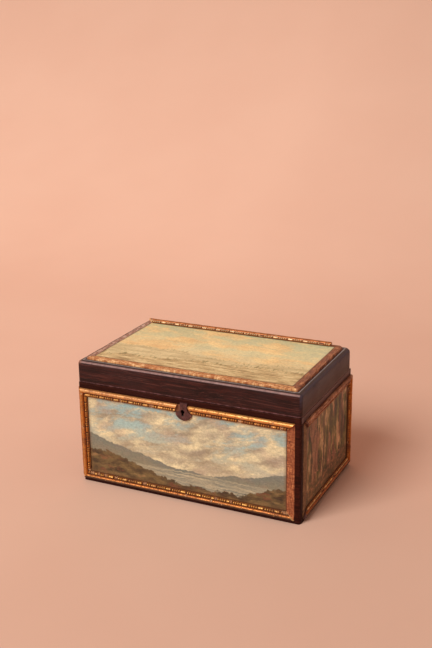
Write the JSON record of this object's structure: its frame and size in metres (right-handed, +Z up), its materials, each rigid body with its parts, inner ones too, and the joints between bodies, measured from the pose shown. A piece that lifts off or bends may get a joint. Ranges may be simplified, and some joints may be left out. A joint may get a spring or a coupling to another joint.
{
  "type": "ditty box",
  "caption": "Small hinged wooden box for papers and keepsakes, with painted panels let into its faces, gilt bead-and-bar frame mouldings and a let-in lock.",
  "frame": {"origin": "middle of the box's underside, where it stands on the table", "axes": "+X to the box's right seen from the front, -Y out of the front with the keyhole, +Z up"},
  "size_m": [0.2906, 0.1789, 0.1622],
  "materials": {
    "dark_wood": "worn dark varnish, fine horizontal grain",
    "lid_wood": "worn dark varnish with rubbed arrises",
    "painted_panel": null,
    "gilding": "worn gilding over red bole",
    "keyhole_plate": "reddish brown, rubbed",
    "lock_brass": "aged, dull",
    "lock_steel": "dull, lightly rusted"
  },
  "bodies": {
    "box": {"bottom_board": "dark_wood", "front_board": "dark_wood", "back_board": "dark_wood", "left_board": "dark_wood", "right_board": "dark_wood", "front_panel": "painted_panel", "back_panel": "painted_panel", "left_panel": "painted_panel", "right_panel": "painted_panel", "front_moulding_left": "gilding", "front_moulding_bottom": "gilding", "front_moulding_top_left": "gilding", "front_moulding_top_right": "gilding", "right_moulding_top": "gilding", "right_moulding_bottom": "gilding", "right_moulding_back": "gilding", "left_moulding_top": "gilding", "left_moulding_bottom": "gilding", "left_moulding_front": "gilding", "left_moulding_back": "gilding", "back_moulding_top": "gilding", "back_moulding_bottom": "gilding", "back_moulding_left": "gilding", "back_moulding_right": "gilding", "escutcheon": "keyhole_plate", "lock_case": "lock_brass", "lock_key_pin": "lock_steel", "lock_screws": "lock_brass", "hinge_left_body_leaf": "lock_brass", "hinge_right_body_leaf": "lock_brass", "hinge_left_pin": "lock_steel", "hinge_right_pin": "lock_steel", "body_hinge_screws": "lock_brass"},
    "lid": {"lid_front_rail": "lid_wood", "lid_back_rail": "lid_wood", "lid_left_rail": "lid_wood", "lid_right_rail": "lid_wood", "lid_top_board": "lid_wood", "lid_panel": "painted_panel", "lid_moulding_back": "gilding", "hinge_left_lid_leaf": "lock_brass", "hinge_right_lid_leaf": "lock_brass", "lid_hinge_screws": "lock_brass", "link_plate": "lock_brass", "link_plate_screws": "lock_brass"},
    "bolt": {"lock_bolt": "lock_steel", "lock_spring": "lock_steel"}
  },
  "joints": [
    {"name": "lid_hinge", "type": "hinge", "parent": "box", "child": "lid", "pos_m": [0, 0.087, 0.12815], "axis": [-1, 0, 0], "range_deg": [0, 95]},
    {"name": "bolt_slide", "type": "slide", "parent": "box", "child": "bolt", "axis": [1, 0, 0], "range_m": [0, 0.004]}
  ]
}
